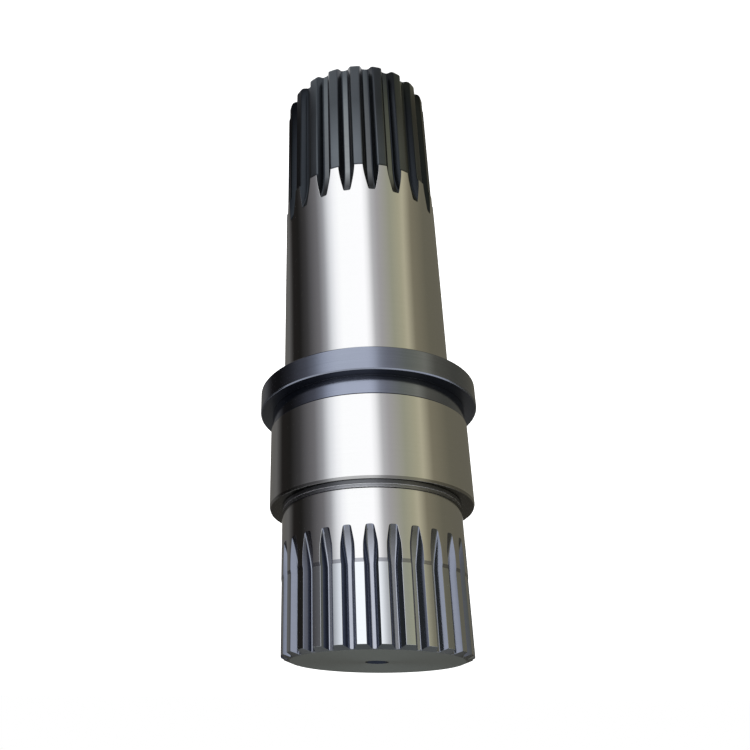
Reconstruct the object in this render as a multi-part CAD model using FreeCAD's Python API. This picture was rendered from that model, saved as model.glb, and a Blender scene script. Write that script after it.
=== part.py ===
import FreeCAD, Part
import math
import os

# Splined drive shaft: one bar of steel, turned, hobbed at both ends and ground on its seats.
# It stands on the end of its long spline. The origin is the middle of that end face, and +Z
# runs up the axis to the end of the short spline. Every size is in millimetres.

# Lengths along the axis, in order from the lower end
long_spline_length = 79.3        # up to where the long seat starts, over its thin step
long_seat_length = 123.0         # ground seat between the long spline and the collar
collar_width = 12.2
neck_width = 10.1                # turned neck between the collar and the bearing seat
bearing_seat_length = 41.6       # ground, with its lead-in chamfer
relief_width = 2.3               # grinding relief beside the bearing seat
short_journal_length = 31.5      # ground journal, up to the thin step at the short spline
short_spline_length = 37.2

# Diameters that no spline sets
collar_diameter = 113.0
bearing_seat_diameter = 101.6    # four inches, the bore of the bearing that sits here
neck_depth = 0.7                 # how far the neck lies under the bearing seat
relief_depth = 0.5               # how far the relief lies under the short journal

# Both splines: involute teeth with a flat root
pressure_angle = 30.0
dedendum_factor = 0.65           # depth of the root under the pitch circle, in modules
hob_radius = 50.0                # the hob leaves each groove on an arc of this radius

long_teeth = 20
long_module = 4.233333           # six teeth for each inch of pitch diameter
long_space = 6.65                # width of a tooth space on the pitch circle, half the pitch
long_tip_turned_off = 0.95       # tips turned under the standard outside circle
long_step = 0.6                  # the long seat stands this much over the tips
long_step_slope = 1.5            # length of the slope of that step
long_hob_stop = 3.1              # full depth ends this far before the seat

short_teeth = 27
short_module = 3.175             # eight teeth for each inch
short_space = 4.2                # under half the pitch: these teeth are left thick
short_tip_turned_off = 0.15
short_step = 0.2                 # the short journal stands this much over the tips
short_step_slope = 1.7
short_hob_stop = 4.1

# Angle of the long spline's nearest groove from the short spline's, seen from above
groove_offset_angle = 6.5

# Edges
long_end_edge = 2.3              # height and depth that the long spline's end edge is broken by, with
long_end_edge_inset = 0.7        # two bevels: they meet this far inside the corner
short_end_bevel_height = 1.6
short_end_bevel_depth = 4.1
collar_chamfer = 0.6
lead_in_length = 1.3             # shallow chamfer that leads the bearing on to its seat
lead_in_depth = 0.5

# Centre holes that the shaft was turned and ground between
centre_mouth_diameter = 11.0
centre_pilot_diameter = 5.0
centre_pilot_length = 6.0
centre_angle = 60.0
centre_drill_point = 118.0

# How far a cutter starts outside the metal, and how much further than the groove's end its arc turns
cutter_overrun = 2.0
beyond_lid = 1.2


# Radii and heights that follow from the sizes above

long_tip_radius = (long_teeth + 1) * long_module / 2 - long_tip_turned_off
short_tip_radius = (short_teeth + 1) * short_module / 2 - short_tip_turned_off
long_seat_radius = long_tip_radius + long_step
short_journal_radius = short_tip_radius + short_step
collar_radius = collar_diameter / 2
bearing_seat_radius = bearing_seat_diameter / 2
neck_radius = bearing_seat_radius - neck_depth
relief_radius = short_journal_radius - relief_depth

long_seat_start = long_spline_length
collar_start = long_seat_start + long_seat_length
neck_start = collar_start + collar_width
bearing_seat_start = neck_start + neck_width
relief_start = bearing_seat_start + bearing_seat_length
short_journal_start = relief_start + relief_width
short_spline_start = short_journal_start + short_journal_length
total_length = short_spline_start + short_spline_length


def point(radius, height):
    """A point of the turned outline, in the plane through the axis and +X."""
    return FreeCAD.Vector(radius, 0, height)


def turned_blank():
    """The bar as the lathe and the grinder leave it, before the teeth are cut."""
    corners = [
        point(0, 0),
        point(long_tip_radius - long_end_edge, 0),
        point(long_tip_radius - long_end_edge_inset, long_end_edge_inset),
        point(long_tip_radius, long_end_edge),
        point(long_tip_radius, long_seat_start - long_step_slope),
        point(long_seat_radius, long_seat_start),
        point(long_seat_radius, collar_start),
        point(collar_radius - collar_chamfer, collar_start),
        point(collar_radius, collar_start + collar_chamfer),
        point(collar_radius, neck_start - collar_chamfer),
        point(collar_radius - collar_chamfer, neck_start),
        point(neck_radius, neck_start),
        point(neck_radius, bearing_seat_start - neck_depth),
        point(bearing_seat_radius, bearing_seat_start),
        point(bearing_seat_radius, relief_start - lead_in_length),
        point(bearing_seat_radius - lead_in_depth, relief_start),
        point(relief_radius, relief_start),
        point(relief_radius, short_journal_start - relief_depth),
        point(short_journal_radius, short_journal_start),
        point(short_journal_radius, short_spline_start),
        point(short_tip_radius, short_spline_start + short_step_slope),
        point(short_tip_radius, total_length - short_end_bevel_height),
        point(short_tip_radius - short_end_bevel_depth, total_length),
        point(0, total_length),
    ]
    outline = Part.Face(Part.makePolygon(corners + corners[:1]))
    return outline.revolve(FreeCAD.Vector(0, 0, 0), FreeCAD.Vector(0, 0, 1), 360)


def involute(angle):
    return math.tan(angle) - angle


def groove_section(teeth, module, space, root_radius, outer_radius):
    """One tooth space, across the axis, on the -Y side at height 0: involute flanks that
    meet a flat root, and a lid outside the metal. Its width on the pitch circle is space."""
    pitch_radius = teeth * module / 2
    working_angle = math.radians(pressure_angle)
    base_radius = pitch_radius * math.cos(working_angle)

    def flank_point(radius, side):
        at_radius = math.acos(base_radius / radius)
        half_space = space / (2 * pitch_radius) + involute(at_radius) - involute(working_angle)
        return FreeCAD.Vector(side * radius * math.sin(half_space), -radius * math.cos(half_space), 0)

    def flank(side):
        on_root = flank_point(root_radius, side)
        middle = flank_point((root_radius + outer_radius) / 2, side)
        on_lid = flank_point(outer_radius, side)
        return Part.Arc(on_root, middle, on_lid).toShape()

    root = Part.makeLine(flank_point(root_radius, -1), flank_point(root_radius, 1))
    lid = Part.makeLine(flank_point(outer_radius, 1), flank_point(outer_radius, -1))
    return Part.Face(Part.Wire([root, flank(1), lid, flank(-1)]))


def groove_cutter(teeth, module, space, outer_radius, full_depth_length):
    """What the hob takes away at one groove: a straight stretch from the end of the shaft,
    then the arc on which it leaves the metal. The groove starts at height 0 and runs up."""
    root_radius = (teeth / 2 - dedendum_factor) * module
    section = groove_section(teeth, module, space, root_radius, outer_radius)
    section.translate(FreeCAD.Vector(0, 0, -cutter_overrun))
    straight = section.extrude(FreeCAD.Vector(0, 0, full_depth_length + cutter_overrun))
    section.translate(FreeCAD.Vector(0, 0, full_depth_length + cutter_overrun))
    hob_centre = FreeCAD.Vector(0, -(root_radius + hob_radius), full_depth_length)
    depth = outer_radius - root_radius
    leaving_angle = beyond_lid * math.degrees(math.acos(1 - depth / hob_radius))
    run_out = section.revolve(hob_centre, FreeCAD.Vector(1, 0, 0), leaving_angle)
    return straight.fuse(run_out).removeSplitter()


def pattern(cutter, teeth, first_angle):
    """A ring of copies of one groove, round the axis."""
    copies = []
    for index in range(teeth):
        copy = cutter.copy()
        angle = first_angle + index * 360 / teeth
        copy.rotate(FreeCAD.Vector(0, 0, 0), FreeCAD.Vector(0, 0, 1), angle)
        copies.append(copy)
    return copies


def long_spline_grooves():
    outer_radius = long_seat_radius + cutter_overrun
    full_depth_length = long_spline_length - long_hob_stop
    cutter = groove_cutter(long_teeth, long_module, long_space, outer_radius, full_depth_length)
    return pattern(cutter, long_teeth, groove_offset_angle)


def short_spline_grooves():
    outer_radius = short_journal_radius + cutter_overrun
    full_depth_length = short_spline_length - short_hob_stop
    cutter = groove_cutter(short_teeth, short_module, short_space, outer_radius, full_depth_length)
    # Turned over, so that the groove starts at the upper end and runs down
    cutter.rotate(FreeCAD.Vector(0, 0, 0), FreeCAD.Vector(0, 1, 0), 180)
    cutter.translate(FreeCAD.Vector(0, 0, total_length))
    return pattern(cutter, short_teeth, 0)


def centre_hole():
    """A centre hole that opens at height 0 and runs up: a cone, a pilot and a drill point."""
    mouth_radius = centre_mouth_diameter / 2
    pilot_radius = centre_pilot_diameter / 2
    cone_depth = (mouth_radius - pilot_radius) / math.tan(math.radians(centre_angle / 2))
    pilot_end = cone_depth + centre_pilot_length
    tip = pilot_end + pilot_radius / math.tan(math.radians(centre_drill_point / 2))
    corners = [
        point(0, 0),
        point(mouth_radius, 0),
        point(pilot_radius, cone_depth),
        point(pilot_radius, pilot_end),
        point(0, tip),
        point(0, 0),
    ]
    outline = Part.Face(Part.makePolygon(corners))
    return outline.revolve(FreeCAD.Vector(0, 0, 0), FreeCAD.Vector(0, 0, 1), 360)


def both_centre_holes():
    lower = centre_hole()
    upper = centre_hole()
    upper.rotate(FreeCAD.Vector(0, 0, 0), FreeCAD.Vector(0, 1, 0), 180)
    upper.translate(FreeCAD.Vector(0, 0, total_length))
    return [lower, upper]


def splined_shaft():
    cutters = long_spline_grooves() + short_spline_grooves() + both_centre_holes()
    shaft = turned_blank().cut(cutters)
    return shaft.Solids[0] if len(shaft.Solids) == 1 else shaft


os.makedirs("parts", exist_ok=True)
shaft = splined_shaft()
shaft.exportStep("parts/splined_shaft.step")
print("splined_shaft: solids", len(shaft.Solids), "valid", shaft.isValid(), "length", round(total_length, 2))
print("volume", round(shaft.Volume / 1000, 1), "cm3; faces", len(shaft.Faces))
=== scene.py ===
import math

import bpy
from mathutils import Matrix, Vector


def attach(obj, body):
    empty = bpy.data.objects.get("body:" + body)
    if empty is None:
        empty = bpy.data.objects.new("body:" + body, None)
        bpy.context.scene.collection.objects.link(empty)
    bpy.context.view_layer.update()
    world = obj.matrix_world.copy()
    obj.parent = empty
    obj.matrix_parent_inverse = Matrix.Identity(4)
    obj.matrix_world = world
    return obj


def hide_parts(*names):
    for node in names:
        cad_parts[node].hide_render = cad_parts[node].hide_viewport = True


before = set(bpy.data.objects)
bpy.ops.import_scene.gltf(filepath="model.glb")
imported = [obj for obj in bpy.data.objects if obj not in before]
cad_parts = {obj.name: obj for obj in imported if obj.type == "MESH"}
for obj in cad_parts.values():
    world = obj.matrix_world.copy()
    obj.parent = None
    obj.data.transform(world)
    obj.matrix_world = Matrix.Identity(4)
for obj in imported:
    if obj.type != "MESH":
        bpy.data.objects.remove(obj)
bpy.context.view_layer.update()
mm = 0.001


# Small helpers

def linear(hexColour):
    # sRGB hex to the linear colour that a shader takes
    channels = [int(hexColour[start:start + 2], 16) / 255 for start in (1, 3, 5)]
    return tuple(c / 12.92 if c <= 0.04045 else ((c + 0.055) / 1.055) ** 2.4 for c in channels) + (1.0,)


def addNode(tree, kind, links=None, **settings):
    # settings: properties of the node, or its sockets by name with _ for a space
    # links: the new node's socket, and the output of another node that goes there
    node = tree.nodes.new(kind)
    for name, value in settings.items():
        if hasattr(node, name):
            setattr(node, name, value)
        else:
            node.inputs[name.replace("_", " ")].default_value = value
    for socket, output in (links or {}).items():
        tree.links.new(output, node.inputs[socket])
    return node


def newMaterial(name):
    material = bpy.data.materials.new(name)
    material.use_nodes = True
    material.node_tree.nodes.clear()
    return material, material.node_tree


def finishMaterial(tree, shader):
    addNode(tree, "ShaderNodeOutputMaterial", {"Surface": shader})


def setStops(ramp, colours):
    stops = ramp.color_ramp.elements
    while len(stops) < len(colours):
        stops.new(1.0)
    for stop, (position, colour) in zip(stops, colours):
        stop.position = position
        stop.color = linear(colour)


def raysThatSeeWhite(tree):
    # 1 for the camera's own rays and for mirrored and refracted ones, which all show the white background
    path = addNode(tree, "ShaderNodeLightPath")
    shown = path.outputs["Is Camera Ray"]
    for ray in ("Is Glossy Ray", "Is Transmission Ray"):
        larger = addNode(tree, "ShaderNodeMath", {0: shown, 1: path.outputs[ray]}, operation="MAXIMUM")
        shown = larger.outputs[0]
    return shown


def deselectAll():
    for other in bpy.context.selected_objects:
        other.select_set(False)


def makeActive(obj):
    deselectAll()
    obj.select_set(True)
    bpy.context.view_layer.objects.active = obj


# The camera: it looks down past the near end face and is turned over, so that this end is at the bottom

cameraSettings = {
    "place": (-6.55 * mm, -393.82 * mm, 386.7 * mm),
    "turn": (-62.133, 1.023, 172.35),   # degrees
    "lens": 38.524,                     # in mm, like the sensor's width
    "sensorWidth": 36.0,
    "shift": (0.13339, -0.0228),
    "nearest": 10 * mm,                 # what is nearer than this isn't drawn
}


def makeCamera(settings):
    data = bpy.data.cameras.new("camera")
    data.lens = settings["lens"]
    data.sensor_width = settings["sensorWidth"]
    data.shift_x, data.shift_y = settings["shift"]
    data.clip_start = settings["nearest"]
    camera = bpy.data.objects.new("camera", data)
    camera.location = settings["place"]
    camera.rotation_euler = [math.radians(angle) for angle in settings["turn"]]
    bpy.context.scene.collection.objects.link(camera)
    bpy.context.scene.camera = camera


makeCamera(cameraSettings)
print("camera placed")


# The studio: a pale floor, white all round, soft lamps, and a funnel of cards that only the metal sees

studio = {
    "floorSize": 8.0,
    "floorColour": "#d9d9d9",
    "floorGlow": 0.86,          # how white the floor is by itself where the camera sees it
    "worldStrength": 0.8,       # the room's light on the shaft
    "worldSeen": 1.0,           # and where it is looked at: white
    "funnelFoot": 62 * mm,      # radius of the cards' ring on the floor
    "funnelTop": 1200 * mm,
    "funnelHeight": 1000 * mm,
    "funnelSegments": 96,
    # The same cards lie flat round the shaft's foot, just over the floor and a little past the funnel
    "footOverlap": 1 * mm,
    "footHeight": 0.3 * mm,
    # Cards by azimuth in degrees from the camera's side, positive towards +X: a white window with a soft
    # edge on its left and a harder one on its right, olive and beige walls beyond, a dark doorway on the left
    "cards": [
        (-180, "#54514a"), (-92, "#605d50"), (-68, "#75705f"), (-56, "#a9a48d"), (-50, "#9d9a83"),
        (-38, "#90907f"), (-22, "#9b999a"), (-15, "#b0b0b2"), (-9, "#e9e9eb"), (-4, "#fdfdff"),
        (24, "#fcfdfe"), (31, "#f1f2f5"), (38, "#d6d8dc"), (46, "#97989c"), (55, "#6b6a6d"),
        (75, "#393839"), (90, "#1d1c1b"), (106, "#1f1d1c"), (121, "#5a5958"), (180, "#54514a"),
    ],
    "cardLevel": 1.48,
    # A second window behind the shaft, low down so that the faces turned up don't mirror it
    "backColour": "#f0f0ee",
    "backEdges": (2.65, 2.95),  # radians from the camera's side, from none to full
    "backTop": (340 * mm, 270 * mm),
    # Lamps: place and size in metres, power in watts
    "lamps": {
        "key lamp": ((0.5, -1.0, 1.4), 1.0, 12),
        "fill lamp": ((-1.1, 0.6, 1.2), 1.2, 8),
    },
    "lampAim": 0.15,            # height on the axis that they point at
}


def makeFloor(settings):
    bpy.ops.mesh.primitive_plane_add(size=settings["floorSize"], location=(0, 0, 0))
    floor = bpy.context.object
    floor.name = "floor"
    # Matt paper: it takes the shaft's soft shadow, and glows to white where it is looked at
    material, tree = newMaterial("matt white floor paper")
    paper = addNode(tree, "ShaderNodeBsdfDiffuse", Color=linear(settings["floorColour"]))
    glow = addNode(tree, "ShaderNodeEmission", Strength=settings["floorGlow"])
    lit = addNode(tree, "ShaderNodeAddShader", {0: paper.outputs[0], 1: glow.outputs[0]})
    surface = addNode(tree, "ShaderNodeMixShader",
                      {0: raysThatSeeWhite(tree), 1: paper.outputs[0], 2: lit.outputs[0]})
    finishMaterial(tree, surface.outputs[0])
    floor.data.materials.append(material)


def makeWorld(settings):
    world = bpy.data.worlds.new("white room")
    bpy.context.scene.world = world
    world.use_nodes = True
    tree = world.node_tree
    tree.nodes.clear()
    room = addNode(tree, "ShaderNodeBackground", Strength=settings["worldStrength"])
    white = addNode(tree, "ShaderNodeBackground", Strength=settings["worldSeen"])
    for background in (room, white):
        background.inputs["Color"].default_value = (1, 1, 1, 1)
    mixed = addNode(tree, "ShaderNodeMixShader",
                    {0: raysThatSeeWhite(tree), 1: room.outputs[0], 2: white.outputs[0]})
    addNode(tree, "ShaderNodeOutputWorld", {"Surface": mixed.outputs[0]})


def makeCardMaterial(settings):
    # Printed card, lit evenly: the metal mirrors it as long soft bands, in colours by azimuth
    material, tree = newMaterial("card funnel")
    place = addNode(tree, "ShaderNodeTexCoord")
    parts = addNode(tree, "ShaderNodeSeparateXYZ", {0: place.outputs["Object"]})
    back = addNode(tree, "ShaderNodeMath", {0: parts.outputs["Y"]}, operation="MULTIPLY")
    back.inputs[1].default_value = -1
    angle = addNode(tree, "ShaderNodeMath", {0: parts.outputs["X"], 1: back.outputs[0]}, operation="ARCTAN2")
    share = addNode(tree, "ShaderNodeMapRange", {"Value": angle.outputs[0]},
                    From_Min=-math.pi, From_Max=math.pi)
    ramp = addNode(tree, "ShaderNodeValToRGB", {"Fac": share.outputs[0]})
    setStops(ramp, [((azimuth + 180) / 360, colour) for azimuth, colour in settings["cards"]])
    # The back window: far round from the camera's side, and low; heights count from the funnel's middle
    aside = addNode(tree, "ShaderNodeMath", {0: angle.outputs[0]}, operation="ABSOLUTE")
    behind = addNode(tree, "ShaderNodeMapRange", {"Value": aside.outputs[0]}, interpolation_type="SMOOTHSTEP",
                     From_Min=settings["backEdges"][0], From_Max=settings["backEdges"][1])
    low = addNode(tree, "ShaderNodeMapRange", {"Value": parts.outputs["Z"]}, interpolation_type="SMOOTHSTEP",
                  From_Min=settings["backTop"][0] - settings["funnelHeight"] / 2,
                  From_Max=settings["backTop"][1] - settings["funnelHeight"] / 2)
    backWindow = addNode(tree, "ShaderNodeMath", {0: behind.outputs[0], 1: low.outputs[0]},
                         operation="MULTIPLY")
    lit = addNode(tree, "ShaderNodeMix", data_type="RGBA")
    tree.links.new(backWindow.outputs[0], lit.inputs[0])
    tree.links.new(ramp.outputs["Color"], lit.inputs[6])
    lit.inputs[7].default_value = linear(settings["backColour"])
    glow = addNode(tree, "ShaderNodeEmission", {"Color": lit.outputs[2]}, Strength=settings["cardLevel"])
    finishMaterial(tree, glow.outputs[0])
    return material


def makeCards(settings):
    bpy.ops.mesh.primitive_cone_add(vertices=settings["funnelSegments"], radius1=settings["funnelFoot"],
                                    radius2=settings["funnelTop"], depth=settings["funnelHeight"],
                                    end_fill_type="NOTHING", location=(0, 0, settings["funnelHeight"] / 2))
    funnel = bpy.context.object
    funnel.name = "reflection_cards"
    # The lower teeth mirror these flat cards, not the white floor
    bpy.ops.mesh.primitive_circle_add(vertices=settings["funnelSegments"],
                                      radius=settings["funnelFoot"] + settings["footOverlap"],
                                      fill_type="NGON", location=(0, 0, settings["footHeight"]))
    material = makeCardMaterial(settings)
    for cards in (funnel, bpy.context.object):
        cards.data.materials.append(material)
        cards.visible_camera = False
        cards.visible_diffuse = False
        cards.visible_shadow = False
        cards.visible_transmission = False


def makeLamps(settings):
    aim = Vector((0, 0, settings["lampAim"]))
    for name, (place, size, power) in settings["lamps"].items():
        data = bpy.data.lights.new(name, "AREA")
        data.shape = "DISK"
        data.size = size
        data.energy = power
        lamp = bpy.data.objects.new(name, data)
        lamp.location = place
        lamp.rotation_euler = (-Vector(place) + aim).to_track_quat("-Z", "Y").to_euler()
        lamp.visible_glossy = False
        bpy.context.scene.collection.objects.link(lamp)


makeFloor(studio)
makeWorld(studio)
makeCards(studio)
makeLamps(studio)
print("studio built")


# Metals: one bar of alloy steel, in the finishes that turning, hobbing, heat treatment and grinding leave;
# some of these colours also hold painted shade.
# lay: spacing of the marks; tone: share by which they vary the colour; depth: of their bump;
# byHeight: colours by height on the shaft in mm, in place of one colour

metals = {
    # Cylindrically ground: bright, its reflections crisp round the shaft and drawn out along it
    "ground_steel": {"colour": "#d6d6d6", "roughness": 0.10, "anisotropic": 0.8,
                     "lay": 0.4 * mm, "tone": 0.03, "depth": 0.0006 * mm},
    # The short spline's ground tips: a little bluer than the seats
    "ground_tip": {"colour": "#d0d4d8", "roughness": 0.12, "anisotropic": 0.8,
                   "lay": 0.4 * mm, "tone": 0.03, "depth": 0.0006 * mm},
    # The shallow chamfers beside the ground stretches: a shade duller, so they show as fine lines
    "ground_lead_in": {"colour": "#9a9a9a", "roughness": 0.15, "anisotropic": 0.6,
                       "lay": 0.4 * mm, "tone": 0.04, "depth": 0.001 * mm},
    # Thin turned slope that the grinding wheel doesn't reach: a grey ring at the short spline
    "unground_step": {"colour": "#9a9ca2", "roughness": 0.22, "anisotropic": 0.4,
                      "lay": 0.4 * mm, "tone": 0.06, "depth": 0.002 * mm},
    # Turned and left black from heat treatment: slate, with soft highlights
    "turned_collar": {"colour": "#868c9b", "roughness": 0.18, "anisotropic": 0.5,
                      "lay": 0.5 * mm, "tone": 0.12, "depth": 0.003 * mm},
    # The neck has the same skin, a little smoother; its colour is painted darker in the corner beside the
    # collar, as painted shade
    "turned_neck_painted_shade": {"byHeight": [(213.8, "#3a3d46"), (215.8, "#888e9e")], "roughness": 0.15,
                    "anisotropic": 0.5, "lay": 0.5 * mm, "tone": 0.1, "depth": 0.003 * mm},
    # Floor of the grinding relief, turned bare: a pale, soft line
    "turned_relief": {"colour": "#e0e2e8", "roughness": 0.3, "anisotropic": 0.4,
                      "lay": 0.4 * mm, "tone": 0.06, "depth": 0.002 * mm},
    # The shoulder beside the relief: painted nearly black, as painted shade; it mirrors the journal faintly
    "turned_shoulder_painted_shade": {"colour": "#1e2024", "roughness": 0.14, "anisotropic": 0.2,
                        "lay": 0.4 * mm, "tone": 0.06, "depth": 0.002 * mm},
    # Side faces turned across the axis, under the black skin: dark blue-grey and dull; far darker than the
    # collar's skin, it is painted shade as well, and it also darkens the upper centre hole
    "blackened_face_painted_shade": {"colour": "#262b36", "roughness": 0.3, "anisotropic": 0.2,
                       "lay": 0.4 * mm, "tone": 0.06, "depth": 0.002 * mm},
    # Bevel round the short spline's end: the same skin, greener and duller still
    "blackened_bevel": {"colour": "#31373a", "roughness": 0.35, "anisotropic": 0.2,
                        "lay": 0.4 * mm, "tone": 0.06, "depth": 0.002 * mm},
    # The long spline's turned tips: black skin with a slight sheen; painted shade makes them darker towards
    # the floor, so they are a little brighter towards the seat
    "blackened_tip_painted_shade": {"byHeight": [(30, "#3d4145"), (66, "#585d62")], "roughness": 0.3,
                      "anisotropic": 0.4, "lay": 0.6 * mm, "tone": 0.08, "depth": 0.002 * mm},
    # Its hobbed flanks: the darkest skin, no lay to be seen
    "blackened_flank": {"colour": "#2b2f34", "roughness": 0.3, "anisotropic": 0.0,
                        "lay": 2.0 * mm, "tone": 0.08, "depth": 0.0},
    # Its roots: smoother, so they catch the window; painted shade makes them darker towards the floor, and
    # they are dark where the hob leaves the metal
    "blackened_root_painted_shade": {"byHeight": [(4, "#484d51"), (30, "#656a6d"), (60, "#74787a"), (80, "#7a7e80"),
                                    (93, "#25282c")],
                       "roughness": 0.12, "anisotropic": 0.0, "lay": 2.0 * mm, "tone": 0.08, "depth": 0.0},
    # The short spline's hobbed flanks: bare steel with a blue-grey cast
    "hobbed_flank": {"colour": "#747986", "roughness": 0.15, "anisotropic": 0.0,
                     "lay": 2.0 * mm, "tone": 0.05, "depth": 0.0},
    # Its roots: the same, paler and softer, and dull where the hob leaves
    "hobbed_root": {"byHeight": [(288, "#74777e"), (300, "#a2a6b0")], "roughness": 0.26,
                    "anisotropic": 0.0, "lay": 2.0 * mm, "tone": 0.05, "depth": 0.0},
    # Faced ends: turned across, a dull green-grey
    "faced_end": {"colour": "#5d6361", "roughness": 0.45, "anisotropic": 0.3,
                  "lay": 0.5 * mm, "tone": 0.06, "depth": 0.003 * mm},
}

toolMarks = {
    "length": 50 * mm,          # along which a mark stays the same round the shaft
    "detail": 3.0,
    "roughnessSpread": 0.1,     # share by which the roughness varies from mark to mark
    "bumpStrength": 0.25,
    "glossTurn": 0.25,          # a quarter turn: highlights are drawn out across the marks
}


def makeSteel(name, finish):
    material, tree = newMaterial(name)
    place = addNode(tree, "ShaderNodeTexCoord")
    # Noise stretched round the axis, as turning and grinding marks are; the real ones are under 0.1 mm apart,
    # too fine to show, and are drawn coarser
    spread = addNode(tree, "ShaderNodeMapping", {"Vector": place.outputs["Object"]},
                     Scale=(1 / toolMarks["length"], 1 / toolMarks["length"], 1 / finish["lay"]))
    marks = addNode(tree, "ShaderNodeTexNoise", {"Vector": spread.outputs[0]},
                    Scale=1.0, Detail=toolMarks["detail"])
    rough = addNode(tree, "ShaderNodeMapRange", {"Value": marks.outputs["Fac"]},
                    To_Min=finish["roughness"] * (1 - toolMarks["roughnessSpread"]),
                    To_Max=finish["roughness"] * (1 + toolMarks["roughnessSpread"]))
    tone = addNode(tree, "ShaderNodeMapRange", {"Value": marks.outputs["Fac"]},
                   To_Min=1 - finish["tone"], To_Max=1 + finish["tone"])
    base = addNode(tree, "ShaderNodeMix", data_type="RGBA", blend_type="MULTIPLY", Factor=1.0)
    tree.links.new(tone.outputs[0], base.inputs[7])
    if "colour" in finish:
        base.inputs[6].default_value = linear(finish["colour"])
    else:
        low, high = finish["byHeight"][0][0], finish["byHeight"][-1][0]
        parts = addNode(tree, "ShaderNodeSeparateXYZ", {0: place.outputs["Object"]})
        share = addNode(tree, "ShaderNodeMapRange", {"Value": parts.outputs["Z"]},
                        From_Min=low * mm, From_Max=high * mm)
        ramp = addNode(tree, "ShaderNodeValToRGB", {"Fac": share.outputs[0]})
        setStops(ramp, [((height - low) / (high - low), colour) for height, colour in finish["byHeight"]])
        tree.links.new(ramp.outputs["Color"], base.inputs[6])
    around = addNode(tree, "ShaderNodeTangent", direction_type="RADIAL", axis="Z")
    steel = addNode(tree, "ShaderNodeBsdfPrincipled",
                    {"Base Color": base.outputs[2], "Roughness": rough.outputs[0],
                     "Tangent": around.outputs[0]},
                    Metallic=1.0, Anisotropic=finish["anisotropic"],
                    Anisotropic_Rotation=toolMarks["glossTurn"])
    if finish["depth"]:
        bump = addNode(tree, "ShaderNodeBump", {"Height": marks.outputs["Fac"]},
                       Strength=toolMarks["bumpStrength"], Distance=finish["depth"])
        tree.links.new(bump.outputs[0], steel.inputs["Normal"])
    finishMaterial(tree, steel.outputs[0])
    return material


finishes = [makeSteel(name, finish) for name, finish in metals.items()]
finishNames = list(metals)
print("metals made:", len(finishes))


# The shaft: turned outline, with the tooth spaces sunk into it row by row

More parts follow.
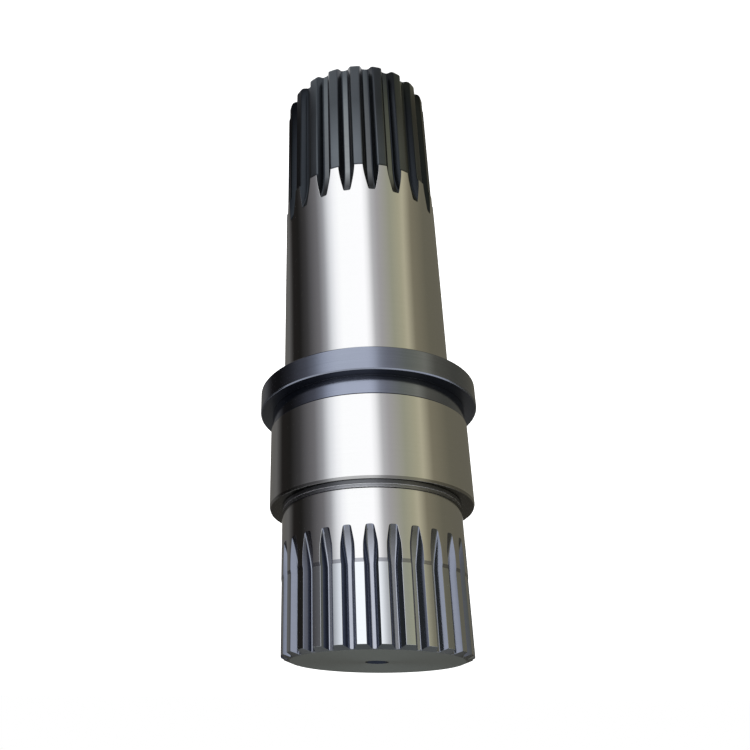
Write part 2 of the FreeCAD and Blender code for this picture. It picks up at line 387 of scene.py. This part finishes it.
shaftShape = {
    "pressureAngle": 30,             # degrees, of both splines
    "rootDepth": 0.65,               # under the pitch circle, in modules
    "hobRadius": 50 * mm,            # arc on which the hob leaves the metal
    "join": (130 * mm, 170 * mm),    # plain stretch where the two lengths meet
    "longSpline": {
        "teeth": 20,
        "module": 4.2333 * mm,
        "space": 6.85 * mm,          # width of a tooth space on the pitch circle
        "turn": 7.3,                 # degrees round from the camera's side
        "fullDepthEnd": 76.2 * mm,   # height where the hob starts to leave
        "runOutWay": 1,              # 1: the run-outs go up, -1: down
        "seatRadius": 44.1 * mm,     # of the ground stretch that the run-outs end in
        "rootFillet": 0.6 * mm,
        "toothEdge": 0.75 * mm,      # how far the teeth's edges are eased
        "flare": 0.0,                # these run-outs don't widen
        "flareHeights": (0.0, 1.0),
        "columns": 27,               # faces across one tooth and one space
        "rootColumns": 2,            # faces from the middle outwards with the root's finish,
        "flankColumns": 9,           # and then with the flank's
        "flankSteps": 4,
    },
    "shortSpline": {
        "teeth": 27,
        "module": 3.175 * mm,
        "space": 4.2 * mm,
        "turn": 0.0,
        "fullDepthEnd": 303.9 * mm,
        "runOutWay": -1,
        "seatRadius": 44.5 * mm,
        "rootFillet": 0.4 * mm,
        "toothEdge": 0.14 * mm,
        "flare": 0.85 * mm,          # each flank opens this much between the flare heights
        "flareHeights": (302.4 * mm, 293.0 * mm),
        "columns": 20,
        "rootColumns": 2,
        "flankColumns": 7,
        "flankSteps": 3,
    },
    "groundEdge": 0.12 * mm,         # easing of the spaces' edges where they leave through a ground seat
    "easingLimit": 0.2,              # largest easing, as a share of half the space's outline
    "endEasing": 0.12 * mm,          # the spaces are drawn in this much on the end face
    "toothedRadius": 39 * mm,        # no tooth space reaches further in
    "leastSpace": 0.3 * mm,          # half outline under which a space isn't drawn
    "leastStretch": 0.3 * mm,        # height under which a stretch gets no more rows
    "filletSteps": 6,
    "flankPoints": 14,               # points worked out along a flank, to well outside the metal,
    "flankStep": 0.5 * mm,           # and how far they rise from one to the next
    "bevelHeights": [(335.8 + 0.15 * step) * mm for step in range(9)],   # more rows up the end bevel
    # Turned outline from the lower centre hole to the upper one:
    # radius and height in mm, easing of the corner, finish of the stretch that follows
    "outline": [
        (0, 12.7, 0, "faced_end"), (2.5, 11.2, 0.1, "faced_end"), (2.5, 5.2, 0.1, "faced_end"),
        (5.5, 0, 0.15, "faced_end"),
        (41.2, 0, 0.1, "blackened_tip_painted_shade"), (42.08, 0.18, 0.3, "blackened_tip_painted_shade"),
        (42.83, 0.67, 0.3, "blackened_tip_painted_shade"), (43.32, 1.42, 0.3, "blackened_tip_painted_shade"),
        (43.5, 2.3, 0.3, "blackened_tip_painted_shade"), (43.5, 77.8, 0.1, "blackened_face_painted_shade"),
        (44.1, 79.3, 0.1, "ground_steel"), (44.1, 202.3, 0.3, "blackened_face_painted_shade"),
        (55.9, 202.3, 0.15, "turned_collar"), (56.5, 202.9, 0.15, "turned_collar"),
        (56.5, 213.9, 0.15, "turned_collar"), (55.9, 214.5, 0.15, "blackened_face_painted_shade"),
        (50.1, 214.5, 0.05, "turned_neck_painted_shade"), (50.1, 223.9, 0.1, "turned_neck_painted_shade"),
        (50.8, 224.6, 0.1, "ground_steel"), (50.8, 264.9, 0.15, "ground_lead_in"),
        (50.3, 266.2, 0.1, "turned_shoulder_painted_shade"), (44.0, 266.2, 0.2, "turned_relief"),
        (44.0, 268.0, 0.1, "ground_lead_in"), (44.5, 268.5, 0.1, "ground_steel"),
        (44.5, 300.0, 0.1, "unground_step"), (44.3, 301.7, 0.1, "ground_tip"),
        (44.3, 335.6, 0.15, "blackened_bevel"), (40.2, 337.2, 0.15, "faced_end"),
        (5.5, 337.2, 0.1, "blackened_face_painted_shade"), (2.5, 332.0, 0.1, "blackened_face_painted_shade"),
        (2.5, 326.0, 0.1, "blackened_face_painted_shade"), (0, 324.5, 0, "blackened_face_painted_shade"),
    ],
}


def easedMiddle(start, corner, end):
    # Middle of the curve that rounds a corner
    return start * 0.25 + corner * 0.5 + end * 0.25


def outlineRows(outline):
    # Each corner becomes three rows, eased; a row is its place (radius, height), normal and finish
    corners = [Vector(corner[:2]) * mm for corner in outline]
    rows = []
    for index, here in enumerate(corners):
        easing, finish = outline[index][2:]
        if index in (0, len(outline) - 1):
            along = (corners[1] - here if index == 0 else here - corners[index - 1]).normalized()
            rows.append((here, Vector((along.y, -along.x)), finish))
            continue
        before = (here - corners[index - 1]).normalized()
        after = (corners[index + 1] - here).normalized()
        start = here - before * easing * mm
        end = here + after * easing * mm
        normalBefore = Vector((before.y, -before.x))
        normalAfter = Vector((after.y, -after.x))
        rows.append((start, normalBefore, outline[index - 1][3]))
        rows.append((easedMiddle(start, here, end), (normalBefore + normalAfter).normalized(), finish))
        rows.append((end, normalAfter, finish))
    return rows


def addRows(rows, heights):
    # More rows at these heights, on the outside of the shaft
    result = []
    for row, following in zip(rows, rows[1:]):
        result.append(row)
        rise = following[0].y - row[0].y
        if min(row[0].x, following[0].x) < shaftShape["toothedRadius"] or rise < shaftShape["leastStretch"]:
            continue
        for height in sorted(heights):
            share = (height - row[0].y) / rise
            if 0.001 < share < 0.999:    # clear of the rows that are there already
                result.append((row[0].lerp(following[0], share), row[1], row[2]))
    return result + rows[-1:]


def involute(angle):
    return math.tan(angle) - angle


def spaceSection(spline):
    # Half a tooth space from the middle of its root outwards, as a curve: length along it, place (across,
    # height over the root) and normal
    pitchRadius = spline["teeth"] * spline["module"] / 2
    rootRadius = pitchRadius - shaftShape["rootDepth"] * spline["module"]
    pressureAngle = math.radians(shaftShape["pressureAngle"])
    baseRadius = pitchRadius * math.cos(pressureAngle)

    def flankPoint(radius):
        halfSpace = spline["space"] / (2 * pitchRadius) + involute(math.acos(baseRadius / radius)) \
            - involute(pressureAngle)
        return Vector((radius * math.sin(halfSpace), radius * math.cos(halfSpace) - rootRadius))

    corner = flankPoint(rootRadius)
    fillet = spline["rootFillet"]
    flankStart = flankPoint(rootRadius + fillet)
    rootEnd = Vector((corner.x - fillet, 0))
    places = [Vector((0, 0)), rootEnd]
    filletSteps = shaftShape["filletSteps"]
    for step in range(1, filletSteps + 1):
        share = step / filletSteps
        places.append(rootEnd * (1 - share) ** 2 + corner * 2 * share * (1 - share) + flankStart * share ** 2)
    for step in range(1, shaftShape["flankPoints"] + 1):
        places.append(flankPoint(rootRadius + fillet + step * shaftShape["flankStep"]))
    curve = []
    length = 0.0
    for index, place in enumerate(places):
        along = (places[min(index + 1, len(places) - 1)] - places[max(index - 1, 0)]).normalized()
        if index < 2:
            along = Vector((1, 0))
        if index:
            length += (place - places[index - 1]).length
        curve.append((length, place, Vector((-along.y, along.x))))
    return {"curve": curve, "rootRadius": rootRadius, "rootEnd": curve[1][0],
            "filletEnd": curve[1 + filletSteps][0], "rootHalf": corner.x}


def onSection(section, length):
    curve = section["curve"]
    for (startLength, start, startNormal), (endLength, end, endNormal) in zip(curve, curve[1:]):
        if length <= endLength:
            share = (length - startLength) / (endLength - startLength)
            return start.lerp(end, share), startNormal.lerp(endNormal, share).normalized()
    return curve[-1][1], curve[-1][2]


def sunkPoint(spline, section, length, height):
    # A point of the tooth space at this height of the shaft, with the hob's arc past the full depth
    place, normal = onSection(section, length)
    past = max(0.0, (height - spline["fullDepthEnd"]) * spline["runOutWay"])
    closed, opened = spline["flareHeights"]
    widening = spline["flare"] * min(max((height - closed) / (opened - closed), 0.0), 1.0)
    across = place.x + widening * min(place.x / section["rootHalf"], 1.0)
    reach = shaftShape["hobRadius"] - place.y
    if past >= reach:
        return None
    out = section["rootRadius"] + shaftShape["hobRadius"] - math.sqrt(reach ** 2 - past ** 2)
    lean = math.asin(past / reach)
    up = -spline["runOutWay"] * normal.y * math.sin(lean)
    return Vector((across, out)), Vector((normal.x, normal.y * math.cos(lean), up))


def edgeLength(spline, section, radius, height):
    # How far up the section the turned surface cuts it; 0 where there is no tooth space
    def above(length):
        point = sunkPoint(spline, section, length, height)
        return point is None or point[0].length > radius

    if above(0.0):
        return 0.0
    low, high = 0.0, section["curve"][-1][0]
    for halving in range(40):
        middle = (low + high) / 2
        low, high = (low, middle) if above(middle) else (middle, high)
    return low


def onTurned(angle, radius, turned):
    # A point of the turned surface, and its normal from the outline's
    place = Vector((math.sin(angle), math.cos(angle))) * radius
    return place, Vector((math.sin(angle) * turned.x, math.cos(angle) * turned.x, turned.y))


def halfRow(spline, section, row):
    # Places and normals from the middle of a tooth space to the middle of the tooth beside it
    (radius, height), turned, finish = row
    halfTurn = math.pi / spline["teeth"]
    odd = spline["columns"] % 2      # the middle face then straddles the root's middle
    count = spline["columns"] // 2 + 1
    step = 2 * halfTurn / spline["columns"]
    reach = edgeLength(spline, section, radius, height) if radius > shaftShape["toothedRadius"] else 0.0
    if reach < shaftShape["leastSpace"]:
        return None, [step * (index + (0.5 if odd else 0)) for index in range(count)]
    edge = shaftShape["groundEdge"] if finish == "ground_steel" else spline["toothEdge"]
    easing = min(edge, shaftShape["easingLimit"] * reach)
    top = reach - easing
    # Lengths up the section: root, fillet, flank
    middleFace = 0.4                 # where the middle face ends, as a share of the flat root's half
    flankSteps = spline["flankSteps"]
    rootEnd, filletEnd = section["rootEnd"], section["filletEnd"]
    lengths = [middleFace * rootEnd if odd else 0.0, rootEnd, (rootEnd + filletEnd) / 2, filletEnd]
    lengths += [filletEnd + (top - filletEnd) * (index + 1) / flankSteps for index in range(flankSteps)]
    last = len(lengths) - 1
    crowded = filletEnd > 0.8 * top  # near the run-out's end the space is narrower than its root
    if crowded:
        lengths = [min(length, top * (index + middleFace) / (last + middleFace))
                   for index, length in enumerate(lengths)]
        lengths[-1] = top
        if not odd:
            lengths[0] = 0.0
    points = [sunkPoint(spline, section, length, height) for length in lengths]
    # The eased edge, and the land up to the middle of the tooth
    crease = sunkPoint(spline, section, reach, height)[0]
    landAngle = math.atan2(crease.x, crease.y) + easing / radius
    landStart, landNormal = onTurned(landAngle, radius, turned)
    points.append((easedMiddle(points[-1][0], crease, landStart), (points[-1][1] + landNormal).normalized()))
    landSteps = count - len(points)
    for index in range(landSteps):
        angle = landAngle + (halfTurn - landAngle) * index / (landSteps - 1)
        points.append(onTurned(angle, radius, turned))
    facesDown = turned.y < -0.9
    if facesDown:
        # On the end face: the space's outline drawn in a little, so that the face's edge is eased
        points = [(place * (1 - shaftShape["endEasing"] / place.length), Vector((0, 0, -1)))
                  for place, normal in points]
    return points, [math.atan2(place.x, place.y) for place, normal in points]


def layOutRows(spline, section, rows):
    # Half rows for every height; a plain row beside a toothed one takes over its angles
    halves = [halfRow(spline, section, row) for row in rows]
    result = []
    for index, (row, (points, angles)) in enumerate(zip(rows, halves)):
        toothed = points is not None
        if not toothed:
            beside = [halves[other] for other in (index - 1, index + 1)
                      if 0 <= other < len(rows) and halves[other][0] is not None]
            if beside:
                angles = beside[0][1]
            points = [onTurned(angle, row[0].x, row[1]) for angle in angles]
        result.append((points, toothed))
    return result


def makeTooth(name, spline, rows, rootFinish, flankFinish):
    # One tooth's width of the shaft as a grid whose points are set row by row
    section = spaceSection(spline)
    columns = spline["columns"]
    halves = layOutRows(spline, section, rows)
    deselectAll()
    bpy.ops.mesh.primitive_grid_add(x_subdivisions=columns, y_subdivisions=len(rows) - 1, size=1,
                                    calc_uvs=False)
    tooth = bpy.context.object
    tooth.name = name
    mesh = tooth.data
    for finish in finishes:
        mesh.materials.append(finish)
    for face in mesh.polygons:
        column = int((face.center.x + 0.5) * columns)
        rowIndex = int((face.center.y + 0.5) * (len(rows) - 1))
        fromMiddle = abs(column + 0.5 - columns / 2)
        finish = rows[rowIndex][2]
        if halves[rowIndex][1] or halves[rowIndex + 1][1]:
            if fromMiddle < spline["rootColumns"]:
                finish = rootFinish
            elif fromMiddle < spline["flankColumns"]:
                finish = flankFinish
        face.material_index = finishNames.index(finish)
    # The normals are kept as outward, sideways and up parts, which copying round the axis doesn't change
    lean = mesh.attributes.new("lean", "FLOAT_VECTOR", "POINT")
    turn = math.radians(spline["turn"])
    for vertex in mesh.vertices:
        column = round((vertex.co.x + 0.5) * columns)
        rowIndex = round((vertex.co.y + 0.5) * (len(rows) - 1))
        offset = column - columns / 2
        place, normal = halves[rowIndex][0][int(abs(offset))]
        side = 1 if offset >= 0 else -1
        angle = math.atan2(place.x, place.y)
        straight = normal.y * math.cos(angle) + normal.x * math.sin(angle)
        sideways = (normal.x * math.cos(angle) - normal.y * math.sin(angle)) * side
        lean.data[vertex.index].vector = (straight, sideways, normal.z)
        around = turn + angle * side
        radius = place.length
        vertex.co = (radius * math.sin(around), -radius * math.cos(around), rows[rowIndex][0].y)
    return tooth


def copyRound(obj, count):
    # Copies of one tooth's width all round the axis, merged where they touch
    makeActive(obj)
    bpy.ops.object.mode_set(mode="EDIT")
    bpy.ops.mesh.select_all(action="SELECT")
    bpy.ops.mesh.spin(steps=count - 1, angle=2 * math.pi * (count - 1) / count, dupli=True,
                      center=(0, 0, 0), axis=(0, 0, 1))
    bpy.ops.mesh.select_all(action="SELECT")
    bpy.ops.mesh.remove_doubles(threshold=0.002 * mm)
    bpy.ops.object.mode_set(mode="OBJECT")


def joinLengths(lower, upper):
    # Both are open rings where they face each other, and a plain stretch is bridged between them
    makeActive(lower)
    upper.select_set(True)
    bpy.ops.object.join()
    bpy.ops.object.mode_set(mode="EDIT")
    bpy.ops.mesh.select_mode(type="EDGE")
    bpy.ops.mesh.select_all(action="DESELECT")
    bpy.ops.mesh.select_non_manifold(extend=False, use_wire=False, use_multi_face=False,
                                     use_non_contiguous=False, use_verts=False)
    bpy.ops.mesh.bridge_edge_loops()
    bpy.ops.mesh.select_all(action="SELECT")
    bpy.ops.mesh.normals_make_consistent(inside=False)
    bpy.ops.object.mode_set(mode="OBJECT")
    lower.name = "splined_shaft_finish"
    return lower


def setNormals(obj):
    # Each point's own normal, so that reflections run true along the ground stretches
    mesh = obj.data
    bpy.ops.object.shade_smooth()
    lean = mesh.attributes["lean"].data
    normals = []
    for vertex in mesh.vertices:
        straight, sideways, up = lean[vertex.index].vector
        around = math.atan2(vertex.co.x, -vertex.co.y)
        out = Vector((math.sin(around), -math.cos(around), 0))
        side = Vector((math.cos(around), math.sin(around), 0))
        normals.append((out * straight + side * sideways + Vector((0, 0, up))).normalized())
    mesh.normals_split_custom_set_from_vertices(normals)
    mesh.attributes.remove(mesh.attributes["lean"])


def runOutHeights(spline):
    # Every millimetre along the hob's arc, and closer together at its end
    depth = spline["seatRadius"] - spaceSection(spline)["rootRadius"]
    hobRadius = shaftShape["hobRadius"]
    end = math.sqrt(hobRadius ** 2 - (hobRadius - depth) ** 2)
    steps = [float(step) for step in range(int(end / mm))]
    steps += [end / mm - short for short in (1.2, 0.7, 0.4, 0.2, 0.08, 0.02, -0.02)]
    return [spline["fullDepthEnd"] + spline["runOutWay"] * step * mm for step in steps]


longSpline, shortSpline = shaftShape["longSpline"], shaftShape["shortSpline"]
heights = runOutHeights(longSpline) + runOutHeights(shortSpline) + shaftShape["bevelHeights"]
allRows = addRows(outlineRows(shaftShape["outline"]), heights + list(shaftShape["join"]))
joinLow = shaftShape["join"][0]
lowerCount = 1 + next(index for index, row in enumerate(allRows) if abs(row[0].y - joinLow) < 0.001 * mm)
lowerLength = makeTooth("lower_length", longSpline, allRows[:lowerCount], "blackened_root_painted_shade", "blackened_flank")
upperLength = makeTooth("upper_length", shortSpline, allRows[lowerCount:], "hobbed_root", "hobbed_flank")
copyRound(lowerLength, longSpline["teeth"])
copyRound(upperLength, shortSpline["teeth"])
shaft = joinLengths(lowerLength, upperLength)
setNormals(shaft)
print("shaft finished:", len(shaft.data.polygons), "faces,", len(allRows), "rows")
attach(shaft, "root")
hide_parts("splined_shaft")

bpy.context.scene.view_settings.view_transform = "Standard"
